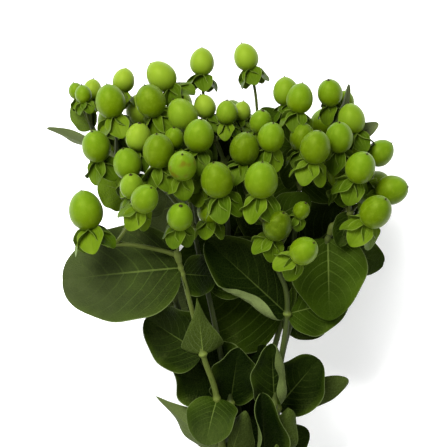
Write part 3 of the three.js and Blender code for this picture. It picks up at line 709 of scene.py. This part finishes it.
# A berry: radius = sin(phi) (1 + egg cos(phi)), less a bell at the tip, times 1 + lobes cos(3a); then a stub
def berrySkin(berry, plant, number):
    look = berryLook
    axis = footOf(berry, plant)[0]
    centre, length = np.array(berry[1:4], float), berry[4]
    phi = np.linspace(0, np.pi, look["rows"] + 2)[1:-1]
    wide = look["width"] * rng.uniform(*look["widthRange"])
    s = -length / 2 + (length - look["stub"]) * (1 - np.cos(phi)) / 2
    r = np.sin(phi) * (1 + look["egg"] * np.cos(phi)) * length * wide / 2
    r = r * (1 - look["point"][0] * bell((np.pi - phi) / look["point"][1]))
    keep = (phi < np.pi / 2) | (r > look["stubStart"])
    s = joined(s[keep], length / 2 - look["stub"] * np.array(look["stubPlaces"]))
    r = joined(r[keep], look["stubRadii"])
    a = ringAngles(look["sides"])
    bulge = np.sin(np.pi * np.clip(s / length + 0.5, 0, 1))[:, None]
    swell = 1 + look["lobes"] * np.cos(3 * a)[None, :] * bulge
    path = centre + s[:, None] * axis
    rings = tubeRings(path, r[:, None] * swell, look["sides"], square(axis, look["seamHint"]))
    u = joined([0], s / length + 0.5, [1])[:, None]
    mark = np.where(np.arange(len(s) + 1) > keep.sum() - 1, 1.0, 0.0)[:, None]
    poles = centre - axis * length / 2, centre + axis * length / 2
    blush = 1.0 if number in look["blushed"] else 0.0
    tone = rng.uniform(0, 1)
    tone = next((value for value, numbers in look["tones"].items() if number in numbers), tone)
    return skin(rings, poles, (u, roundRow(look["sides"])), (blush, 1.0), mark, tone)


sepalLook = dict(
    leafLook, rows=13, columns=12, outline=(0.82, 0.6), thickness=0.3, crease=0.1, creaseWidth=0.6,
    veinDepth=0.06, veinCount=3.0, fan=True, wave=0.13, waves=1.2, uneven=0.06)
sepalShape = {
    "length": 10,  # on a full berry
    "reach": 1.12,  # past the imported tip
    "droop": 0.72,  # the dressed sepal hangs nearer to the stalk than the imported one, down to the least
    "least": 24,
    "width": 0.95,  # over the length
    "short": 5.4,  # a sepal that has no room
    "shortWidth": 1.15,
    "rise": 0.5,  # the calyx is centred this far up inside the foot
    "spreads": (54, 68, 38, 84, 24),  # from the stalk; a sepal takes the one that its packed calyx shows
    "search": 1.3,  # lengths about the calyx in which packed tips are looked for
    "goldenAngle": 137.5,
    "bend": 34,
    "cup": 0.1,
    "tuck": 9,  # each sepal lies under one neighbour and over the other
}


# The five sepals of a berry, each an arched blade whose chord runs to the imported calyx's own tip
def calyxSkins(berry, plant, number, corners):
    shape = sepalShape
    axis, foot, _ = footOf(berry, plant)
    heart = foot + axis * shape["rise"]
    across = unit(np.cross([1.0, 0, 0], axis))
    other = np.cross(axis, across)
    size = shape["length"] * berry[4] / berryLook["full"]
    near = corners[np.linalg.norm(corners - heart, axis=1) < shape["length"] * shape["search"]]
    spreads = np.radians(shape["spreads"] + (shape["spreads"][0],))
    sizes = np.array([size] * len(shape["spreads"]) + [shape["short"]])
    made = []
    for k in range(5):
        turn = math.radians(k * 72 + number * shape["goldenAngle"])
        around = across * math.cos(turn) + other * math.sin(turn)
        outs = np.sin(spreads)[:, None] * around - np.cos(spreads)[:, None] * axis
        tips = heart + outs * sizes[:, None]
        best = int(np.argmin(np.linalg.norm(tips[:, None] - near[None], axis=2).min(axis=1)))
        spread = max(spreads[best] * shape["droop"], math.radians(shape["least"]))
        rise = spread + math.radians(shape["bend"] / 2)
        d = math.sin(rise) * around - math.cos(rise) * axis
        n = math.cos(rise) * around + math.sin(rise) * axis
        wide = max(sizes[best], shape["short"] * shape["shortWidth"]) * shape["width"]
        made.append(bladeSkin(heart, turned(d, n, shape["tuck"]), sizes[best] * shape["reach"], wide,
                              shape["bend"], shape["cup"], sepalLook, rng.uniform(0, 1)))
    return made


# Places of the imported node's corners, in layout millimetres
def packedCorners(name):
    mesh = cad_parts[name].data
    found = np.empty(len(mesh.vertices) * 3, np.float32)
    mesh.vertices.foreach_get("co", found)
    return np.unique(found.reshape(-1, 3).round(6), axis=0) * 1000 - layoutShift


bandLook = {
    "inner": 6.02,
    "pinch": 0.42,  # it runs straight between the stalks, so it is this much nearer the middle there
    "pinchRange": (0.08, 0.45),  # of angle, from a stalk
    "thickness": 1.35,
    "width": 6,
    "bar": (0.6, 0.5),  # powers that square off the section
    "strands": 3,
    "strandDepth": 0.16,
    "slip": (0.25, 0.6),  # of one side along the stalks, and the turn at which it starts
    "rows": 140,
    "sides": 40,
}


# A rubber band wound three times: a flat ring whose section is a rounded bar with three low strands
def bandSkin(plant):
    look = bandLook
    line, dense = plant["line"], plant["dense"]
    rows, sides = look["rows"], look["sides"]
    i = int(np.searchsorted(dense, stalkLook["tie"]))
    along = unit(line[i + 1] - line[i - 1])
    first = unit(np.cross(up, along))
    second = np.cross(along, first)
    a = np.linspace(0, 2 * np.pi, rows, endpoint=False)[:, None]
    b = np.linspace(0, 2 * np.pi, sides, endpoint=False)[None, :]
    w = np.sign(np.cos(b)) * np.abs(np.cos(b)) ** look["bar"][0] * look["width"] / 2
    h = np.sign(np.sin(b)) * np.abs(np.sin(b)) ** look["bar"][1] * look["thickness"] / 2
    strand = np.abs(np.cos(np.pi * look["strands"] * (w / look["width"] + 0.5))) * np.sign(h)
    stalks = np.radians([stem["ring"] for stem in stems.values() if stem["ring"] is not None])
    gap = np.abs((a - stalks[None, :] + np.pi) % (2 * np.pi) - np.pi).min(axis=1)[:, None]
    pinch = look["pinch"] * ease(gap, *look["pinchRange"])
    r = look["inner"] + look["thickness"] / 2 + h - look["strandDepth"] * strand * 0.5 - pinch
    slip, turn = look["slip"]
    w = np.clip(w + slip * np.sin(a + turn), -look["width"] / 2, look["width"] / 2)
    grid = (np.array(bundle["middle"], float) + (r * np.cos(a))[..., None] * first
            + (r * np.sin(a))[..., None] * second + w[..., None] * along)
    index = np.arange(rows * sides).reshape(rows, sides)
    index = joined(index, index[:1])
    index = joined(index, index[:, :1], axis=1)
    return faces(grid.reshape(-1, 3), index, (column(rows + 1), roundRow(sides)), (0.0, 1.0), 0.0, 0.5)


def addNode(tree, kind, inputs=None, **settings):
    made = tree.nodes.new("ShaderNode" + kind)
    for key, value in settings.items():
        setattr(made, key, value)
    for key, value in (inputs or {}).items():
        if isinstance(value, Field):
            tree.links.new(value.socket, made.inputs[key])
        else:
            made.inputs[key].default_value = value
    return made


# A value that varies over a surface; each sum, product or curve of it adds a node to the tree
class Field:
    def __init__(self, tree, node, output=0):
        self.tree, self.socket = tree, node.outputs[output]

    def math(self, operation, *others):
        inputs = dict(enumerate((self, *others)))
        return Field(self.tree, addNode(self.tree, "Math", inputs, operation=operation))

    def __add__(self, other):
        return self.math("ADD", other)

    def __mul__(self, other):
        return self.math("MULTIPLY", other)

    # Up and down between 0 and half, once for each unit
    def zigzag(self):
        return self.math("PINGPONG", 0.5)

    # 0 to 1 as the value runs from start to end, also downwards
    def slide(self, start, end):
        inputs = {"Value": self, "From Min": start, "From Max": end}
        return Field(self.tree, addNode(self.tree, "MapRange", inputs, interpolation_type="SMOOTHSTEP"))

    def parts(self):
        node = addNode(self.tree, "SeparateXYZ", {0: self})
        return [Field(self.tree, node, i) for i in range(3)]


# One colour over another, as strong as the mask
def tint(colour, over, mask):
    colour, over = ((*c, 1) if isinstance(c, tuple) else c for c in (colour, over))
    return Field(mask.tree, addNode(mask.tree, "Mix", {0: mask, 6: colour, 7: over}, data_type="RGBA"), 2)


# A base colour under coats of others, each as strong as its mask
def layered(look, base, *coats):
    colour = look[base]
    for name, mask in coats:
        colour = tint(colour, look[name], mask)
    return colour


# The first two values of a piece's map
def uvPair(tree, name):
    return Field(tree, addNode(tree, "UVMap", uv_map=name)).parts()[:2]


# The three maps of a piece: along and across, two values of its own kind, and mark and tone
def maps(tree):
    return [uvPair(tree, name) for name in ("along", "extra", "tone")]


# 0 on the midrib and 1 on the margin
def fromMidrib(v):
    return (v * 2.0 + -1.0).math("ABSOLUTE")


def noise(place, scale, detail):
    inputs = {"Vector": place, "Scale": scale, "Detail": detail}
    return Field(place.tree, addNode(place.tree, "TexNoise", inputs))


def cells(place, scale, feature):
    inputs = {"Vector": place, "Scale": scale}
    return Field(place.tree, addNode(place.tree, "TexVoronoi", inputs, feature=feature), "Distance")


# A new material, its tree, the object's own coordinates, and the slow and the fine noise it asks for
def startMaterial(name, look):
    made = bpy.data.materials.new(name)
    made.use_nodes = True
    tree = made.node_tree
    place = Field(tree, addNode(tree, "TexCoord"), "Object")
    return made, tree, place, *(noise(place, *look[key]) for key in ("cloud", "grain") if key in look)


# Roughness is the pattern times a spread plus a least; relief is the bump's depth in metres and its strength
def finishMaterial(made, look, colour, pattern, height):
    tree = made.node_tree
    shader = tree.nodes["Principled BSDF"]
    for key, value in look["sockets"].items():
        shader.inputs[key].default_value = value
    spread, least = look["roughness"]
    depth, strength = look["relief"]
    bump = addNode(tree, "Bump", {"Height": height, "Distance": depth, "Strength": strength})
    tree.links.new(colour.socket, shader.inputs["Base Color"])
    tree.links.new((pattern * spread + least).socket, shader.inputs["Roughness"])
    tree.links.new(bump.outputs[0], shader.inputs["Normal"])
    return made


leafFinish = {
    "deep": (0.0014, 0.0042, 0.0003),
    "fresh": (0.0182, 0.0364, 0.0013),
    # painted light: a tone above 1 lifts a blade that lies in shade to a lighter green than its own
    "paintedLight": (0.049, 0.084, 0.0035),  # a tone above 1
    "edge": (0.0294, 0.0504, 0.0028),
    "edgeShare": 0.3,
    # pale bloom colour, partly the leaf's own and partly painted light on blades in shade
    "bloomAndPaintedLight": (0.0595, 0.0735, 0.028),
    "midrib": (0.077, 0.1085, 0.021),
    "vein": (0.05, 0.08, 0.011),
    "margin": (0.07, 0.0945, 0.028),
    "under": (0.016, 0.026, 0.0021),
    "underPale": (0.077, 0.098, 0.034),
    "cloud": (95, 3.0),  # scale and detail, as for each noise
    "grain": (1500, 2.0),
    "powder": (240, 4.0),
    "net": 1000.0,  # the scale of the finest veins
    "netShare": (0.06, 0.22),  # above and below
    "sideVein": (0.085, 0.015),  # from its sides to its middle
    "sideShare": 0.5,  # below
    "rim": (0.965, 0.998),
    "rimShare": 0.75,
    "roughness": (0.2, 0.32),
    "roughBelow": 0.75,
    "relief": (0.00025, 0.8),
    "sockets": {"Specular IOR Level": 0.045, "Specular Tint": (0.85, 1.0, 0.25, 1.0)},
}


# Leaves: a pale midrib and arching side veins on dark green above, and a pale net below.
# The blade's map gives u and v, and the next one counts the side veins and gives the pale bloom, partly the
# blade's own and partly painted light on blades in shade.
def leafMaterial(name, look):
    made, tree, place, cloud, grain = startMaterial(name, look)
    (u, v), (phase, bloomAndPaintedLight), (mark, tone) = maps(tree)
    across = fromMidrib(v)
    net = cells(place, look["net"], "DISTANCE_TO_EDGE")
    netLine = net.slide(0.10, 0.02)
    width = u * -0.03 + 0.04
    midLine = across.slide(width, width * 0.4) * u.slide(1.0, 0.35)
    sideLine = (cloud * 0.35 + phase).zigzag().slide(*look["sideVein"])
    sideLine = sideLine * across.slide(0.98, 0.75) * u.slide(1.1, 0.1)
    # the bloom mask: partly the blade's own bloom, partly painted light on blades in shade
    haze = bloomAndPaintedLight * (noise(place, *look["powder"]) * 0.8 + 0.6)
    top = layered(
        look, "deep",
        ("fresh", (cloud * 0.7 + (tone * 0.8 + -0.35)).slide(0.0, 1.0)),
        # painted light on blades in shade, for a tone above 1
        ("paintedLight", tone.slide(1.0, 2.0)),
        ("edge", across.slide(0.7, 1.0) * look["edgeShare"]),
        ("vein", netLine * look["netShare"][0]),
        ("vein", sideLine * (tone * 0.6 + 0.12)),
        ("midrib", midLine * (tone * 0.6 + 0.3)),
        ("bloomAndPaintedLight", haze))
    below = layered(
        look, "under",
        ("underPale", haze),
        ("margin", netLine * look["netShare"][1]),
        ("margin", sideLine * look["sideShare"]),
        ("midrib", midLine))
    colour = tint(top, below, mark.slide(0.5, 0.9))
    colour = tint(colour, look["margin"], across.slide(*look["rim"]) * look["rimShare"])
    lines = (sideLine * 0.8).math("MAXIMUM", midLine)
    height = lines * -0.8 + (net.slide(0.0, 0.3) * 0.35 + grain * 0.25)
    return finishMaterial(made, look, colour, mark * look["roughBelow"] + cloud, height)


berryFinish = {
    # partly the berry's own colour and partly painted light: the tip, which mostly faces the light, is paler,
    # and the foot is lifted against its shade
    "foot": (0.059, 0.097, 0.0003),
    "tip": (0.068, 0.124, 0.003),
    # also painted light, for berries with a tone above 1
    "pale": (0.13, 0.19, 0.012),  # also a tone above 1
    # painted shade, for berries with a tone below 0
    "deep": (0.031, 0.053, 0.0003),  # a tone below 0
    "blush": (0.07, 0.0315, 0.0021),
    "style": (0.014, 0.0098, 0.0042),
    "cloud": (160, 3.0),
    "grain": (2200, 2.0),
    "haze": (420, 3.0),
    "hazeShare": 0.22,
    "specks": 1300.0,
    "speckShare": 0.16,
    "seams": 3.0,  # fine lines from foot to tip
    "seamShare": 0.16,
    "cheek": (210, 1.0),
    "cheekShare": 0.6,
    "scar": (0.945, 0.975),
    "scarShare": 0.75,
    "roughness": (0.12, 0.33),
    "relief": (0.00012, 0.5),
    "sockets": {"Specular IOR Level": 0.1, "Specular Tint": (0.85, 1.0, 0.2, 1.0), "Subsurface Weight": 0.1,
                "Sheen Weight": 0.06, "Sheen Tint": (0.8, 1.0, 0.3, 1.0), "Sheen Roughness": 0.3,
                "Subsurface Scale": 0.002, "Subsurface Radius": (0.6, 1.0, 0.1)},
}


# Berries: yellow-green at the foot and hazier towards the tip, partly their own colour and partly painted
# light, since the tips mostly face the light; painted light on some berries and painted shade on others; fine
# specks and a dark style scar
def berryMaterial(name, look):
    made, tree, place, cloud, grain = startMaterial(name, look)
    (u, around), (blush, _), (mark, tone) = maps(tree)
    specks = cells(place, look["specks"], "F1").slide(0.32, 0.1)
    seam = (around * look["seams"] + 0.5).zigzag().slide(0.03, 0.0)
    cheek = noise(place, *look["cheek"]).slide(0.5, 0.68) * blush
    colour = layered(
        look, "foot",
        ("tip", (u + (cloud * 0.3 + (tone * 0.3 + -0.3))).slide(0.1, 0.95)),
        # painted shade and painted light on chosen berries, by tone
        ("deep", tone.slide(0.0, -1.0)),
        ("pale", tone.slide(1.0, 2.0) * u.slide(-0.3, 0.6)),
        ("pale", noise(place, *look["haze"]).slide(0.45, 0.75) * look["hazeShare"]),
        ("pale", specks * look["speckShare"]),
        ("pale", seam * look["seamShare"]),
        ("blush", cheek * look["cheekShare"]),
        ("style", mark.math("MAXIMUM", u.slide(*look["scar"]) * look["scarShare"])))
    return finishMaterial(made, look, colour, cloud, specks * 0.4 + (seam * -0.5 + grain))


sepalFinish = {
    "deep": (0.024, 0.048, 0.0012),
    "fresh": (0.068, 0.112, 0.003),
    "vein": (0.077, 0.119, 0.0126),
    "veinShare": 0.45,
    "margin": (0.098, 0.14, 0.021),
    "cloud": (220, 3.0),
    "grain": (1900, 2.0),
    "line": (0.13, 0.02),
    "paleBelow": 0.25,
    "rim": (0.93, 0.99),
    "rimShare": 0.8,
    "roughness": (0.15, 0.38),
    "relief": (0.00018, 0.7),
    "sockets": {"Specular IOR Level": 0.08, "Specular Tint": (0.85, 1.0, 0.2, 1.0)},
}


# Sepals: fresh green with fine veins that run lengthwise, and a pale rim
def sepalMaterial(name, look):
    made, tree, _, cloud, grain = startMaterial(name, look)
    (u, v), (phase, _), (mark, tone) = maps(tree)
    line = (cloud * 0.2 + phase).zigzag().slide(*look["line"]) * u.slide(1.05, 0.2)
    colour = layered(
        look, "deep",
        ("fresh", (cloud * 0.7 + (tone * 0.6 + -0.3)).slide(0.0, 1.0)),
        ("vein", line * look["veinShare"]),
        ("vein", mark.slide(0.5, 0.9) * look["paleBelow"]),
        ("margin", fromMidrib(v).slide(*look["rim"]) * look["rimShare"]))
    return finishMaterial(made, look, colour, cloud, line * -0.8 + grain * 0.4)


stalkFinish = {
    "green": (0.0245, 0.0406, 0.0042),
    "olive": (0.0525, 0.0665, 0.0098),
    # painted shade for stalks that lie deep inside the bunch
    "shade": (0.0126, 0.0182, 0.0035),  # a tone near 0
    "shadeShare": 0.8,
    "bark": (0.0665, 0.049, 0.0182),
    "barkRange": (0.02, -0.17),  # metres along the bunch, from green to bark
    "barkShare": 0.75,
    "node": (0.091, 0.119, 0.0196),
    "nodeShare": 0.4,
    "wood": (0.294, 0.259, 0.133),
    "rings": 4.0,
    "ringShare": 0.15,
    "pith": (0.112, 0.077, 0.0315),
    "pithEdge": (0.42, 0.3),
    "cloud": (70, 3.0),
    "grain": (1600, 2.0),
    "streak": (5.0, 3.0),
    "streakRun": 3.0,  # the smaller, the longer the streaks
    "roughness": (0.2, 0.42),
    "relief": (0.00022, 0.7),
    "sockets": {"Specular IOR Level": 0.1},
}


# Stalks: long fine streaks, browner towards the cut, yellower at the nodes, with painted shade on those of
# low tone; the cut shows wood round pith
def stalkMaterial(name, look):
    made, tree, place, cloud, grain = startMaterial(name, look)
    (run, around), (nodal, radial), (mark, tone) = maps(tree)
    turn = around * (2 * math.pi)
    rolled = {0: run * look["streakRun"], 1: turn.math("SINE"), 2: turn.math("COSINE")}
    streak = noise(Field(tree, addNode(tree, "CombineXYZ", rolled)), *look["streak"])
    old = place.parts()[1].slide(*look["barkRange"]) * cloud.slide(0.25, 0.6)
    colour = layered(
        look, "green",
        ("olive", (streak + tone * 0.2).slide(0.35, 0.8)),
        # painted shade on stalks with a low tone
        ("shade", tone.slide(0.3, 0.0) * look["shadeShare"]),
        ("bark", old * look["barkShare"]),
        ("node", nodal * look["nodeShare"]))
    wood = layered(
        look, "wood",
        ("pith", radial.slide(*look["pithEdge"])),
        ("bark", (radial * look["rings"]).zigzag().slide(0.1, 0.4) * look["ringShare"]))
    return finishMaterial(made, look, tint(colour, wood, mark), streak, streak * 0.8 + grain * 0.4)


bandFinish = {
    "rubber": (0.44, 0.27, 0.12),
    "worn": (0.56, 0.39, 0.20),
    "cloud": (260, 4.0),
    "grain": (2600, 3.0),
    "cut": (3.0, 2.0),
    "cutStretch": (6.0, 60.0),  # round the band and across it
    "cutShare": 0.2,
    "roughness": (0.2, 0.55),
    "relief": (0.0002, 0.7),
    "sockets": {"Specular IOR Level": 0.35},
}


# Rubber: tan, paler where it is stretched, with fine cut lines round it and a dusting of powder
def bandMaterial(name, look):
    made, tree, _, cloud, grain = startMaterial(name, look)
    stretched = {i: value * look["cutStretch"][i] for i, value in enumerate(uvPair(tree, "along"))}
    cut = noise(Field(tree, addNode(tree, "CombineXYZ", stretched)), *look["cut"])
    worn = cut.slide(0.55, 0.75) * look["cutShare"]
    colour = layered(look, "rubber", ("worn", cloud.slide(0.35, 0.7)), ("worn", worn))
    return finishMaterial(made, look, colour, cloud, cut * 0.7 + grain * 0.3)


leafGreen = leafMaterial("leafGreen", leafFinish)
berryGreen = berryMaterial("berryGreen", berryFinish)
sepalGreen = sepalMaterial("sepalGreen", sepalFinish)
stalkGreen = stalkMaterial("stalkGreen", stalkFinish)
rubberTan = bandMaterial("rubberTan", bandFinish)
print("materials made")

# What sets single leaves apart, by stem and place in its list; tone runs from dark to fresh green, and a tone
# below 0 is painted shade on leaves that lie deep inside the bunch
leafTraits = {
    "a": {
        0: {"tone": 0.3, "bloomAndPaintedLight": (0.0, 0.33), "outline": (0.85, 0.4), "wave": 0.03, "waves": 1.4},
        1: {"tone": 0.2},
        2: {"tone": 0.15, "outline": (0.68, 0.5), "wave": 0.12},
        3: {"outline": (0.3, 1.2), "fold": -22, "wave": 0.12, "waves": 1.6, "pale": 0.05},
        4: {"tone": 0.5, "bloomAndPaintedLight": (0.0, 0.12), "wave": 0.2, "waves": 1.4},
        5: {"pale": 0.4, "outline": (0.5, 1.0), "twist": 40, "wave": 0.15},
        6: {"pale": 0.12, "fold": 20, "outline": (0.6, 0.7)},
    },
    "b": {1: {"tone": 0.2}},
    "d": {2: {"tone": -0.3}},
    "e": {1: {"tone": -0.2, "wave": 0.18}, 2: {"tone": -0.15, "wave": 0.16}},
    "f": {
        0: {"tone": 0.0, "rollSide": -1, "rollStart": 0.5, "pale": 0.85, "wave": 0.05},
        1: {"tone": 0.6},
        2: {"tone": 0.25, "rollSide": 1, "rollStart": 0.5, "rollFade": (0.8, 1.3), "pale": 0.5},
        3: {"fold": 25, "pale": 0.05, "wave": 0.18},
        4: {"tone": -0.3, "fold": 25, "wave": 0.2, "waves": 1.5},
    },
    "g": {0: {"tone": 0.62, "wave": 0.12}, 1: {"tone": 0.3}, 2: {"tone": 0.05}, 3: {"tone": 0.1}},
    "h": {
        0: {"tone": 0.8, "outline": (0.64, 0.6)},
        1: {"tone": 0.5},
        2: {"tone": 0.1, "outline": (0.8, 0.45), "wave": 0.18, "waves": 1.5},
        3: {"pale": 0.12},
    },
}
bractTraits = {
    # b's bracts lie in shade under the berries: their high tones, bloom and pale underside are painted light
    "b": {0: {"bloomAndPaintedLight": (1.2, 1.4), "pale": 1.5}, 1: {"tone": 1.8}, 2: {"tone": 2.0, "bloomAndPaintedLight": (0.2, 0.2)}},
    # d's bracts lie deep in the head: their low tone is painted shade
    "d": dict.fromkeys(range(4), {"tone": -0.4}),
    "g": {4: {"bloomAndPaintedLight": (1.2, 1.2)}, 5: {"bloomAndPaintedLight": (1.2, 1.2), "pale": 1.2}},
}
bractLook = dict(
    leafLook, rows=26, columns=18, veinCount=7.0, veinDepth=0.08, crease=0.3, thickness=0.38,
    tones=(0.4, 0.95))

berryNumber = 0
for name, stem in stems.items():
    plant = plants[name]
    leafyNode, sprayNode = f"stem_{name}_leafy", f"stem_{name}_berries"
    makePiece(f"stalk_{name}", [stalkSkin(name, stem, plant)], stalkGreen, "stalk", leafyNode)
    leaves = bladeSkins(stem["leaves"], plant["leafBases"], leafLook, leafTraits.get(name, {}))
    makePiece(f"leaves_{name}", leaves, leafGreen, "leaf", leafyNode)
    makePiece(f"branches_{name}", branchSkins(stem, plant), stalkGreen, "stalk", sprayNode)
    bracts = bladeSkins(stem["bracts"], plant["bractBases"], bractLook, bractTraits.get(name, {}))
    makePiece(f"bracts_{name}", bracts, leafGreen, "leaf", sprayNode)
    eggs, calyces, corners = [], [], packedCorners(sprayNode)
    for berry in stem["berries"]:
        berryNumber += 1
        eggs.append(berrySkin(berry, plant, berryNumber))
        calyces += calyxSkins(berry, plant, berryNumber, corners)
    makePiece(f"berries_{name}", eggs, berryGreen, "berry", sprayNode)
    makePiece(f"sepals_{name}", calyces, sepalGreen, "sepal", sprayNode)
makePiece("band", [bandSkin(plants["d"])], rubberTan, "band", "rubber_band")
print("bunch dressed:", berryNumber, "berries")


floorLook = {
    "size": 14.0,
    "colour": (0.92, 0.92, 0.915),
    "world": (0.96, 0.98, 1.0),
    "worldStrength": 0.3,
    "cloud": (40, 2.0),
    "speckShade": 0.985,
    "roughness": (0.1, 0.7),
    "relief": (0.0001, 0.1),
    "sockets": {"Specular IOR Level": 0.2, "Emission Color": (1.0, 1.0, 1.0, 1.0), "Emission Strength": 0.24},
}


# A plain pale floor that glows a little, under an even sky
def makeFloor(look):
    made, _, _, speck = startMaterial("floorPale", look)
    colour = tint(look["colour"], tuple(c * look["speckShade"] for c in look["colour"]), speck)
    finishMaterial(made, look, colour, speck, speck)
    half = look["size"] / 2
    corners = [(-half, -half, 0), (half, -half, 0), (half, half, 0), (-half, half, 0)]
    mesh = bpy.data.meshes.new("floor")
    mesh.from_pydata(corners, [], [(0, 1, 2, 3)])
    mesh.materials.append(made)
    addObject("floor", mesh)
    world = bpy.data.worlds.new("studio")
    world.use_nodes = True
    sky = world.node_tree.nodes["Background"]
    sky.inputs["Color"].default_value = (*look["world"], 1)
    sky.inputs["Strength"].default_value = look["worldStrength"]
    scene.world = world


lights = {
    "key": {"at": (-0.8, 1.4, 1.8), "size": 1.4, "power": 134.0},
    "left": {"at": (-1.4, -0.6, 1.6), "size": 2.2, "power": 46.0},
    "right": {"at": (1.4, -0.8, 1.6), "size": 2.2, "power": 28.0},
}


# An area light at a place, turned to the middle of the berries
def makeLight(name, look, target):
    lamp = bpy.data.lights.new(name, "AREA")
    lamp.shape, lamp.size, lamp.energy = "DISK", look["size"], look["power"]
    holder = addObject(name, lamp)
    holder.location = look["at"]
    holder.visible_camera = False
    aim = (target - np.array(look["at"])).tolist()
    holder.rotation_euler = Vector(aim).to_track_quat("-Z", "Y").to_euler()


cameraLook = {
    "over": (-0.4, 10.0, 60.0),  # the middle of the view, in layout millimetres
    "field": 0.1779,  # metres across at that height
    "distance": 2.0,
    "sensor": 36,
    "clip": (0.1, 60),
}


# The camera looks straight down, from far enough that near and far berries keep their sizes
def makeCamera(look):
    lens = bpy.data.cameras.new("camera")
    lens.sensor_width = look["sensor"]
    lens.lens = look["sensor"] * look["distance"] / look["field"]
    lens.clip_start, lens.clip_end = look["clip"]
    holder = addObject("camera", lens)
    middle = (np.array(look["over"]) + layoutShift) / 1000
    holder.location = (middle[0], middle[1], middle[2] + look["distance"])
    scene.camera = holder
    scene.view_settings.view_transform = "Standard"
    return middle


makeFloor(floorLook)
middle = makeCamera(cameraLook)
for name, look in lights.items():
    makeLight(name, look, middle)
print("stage, lights and camera made")
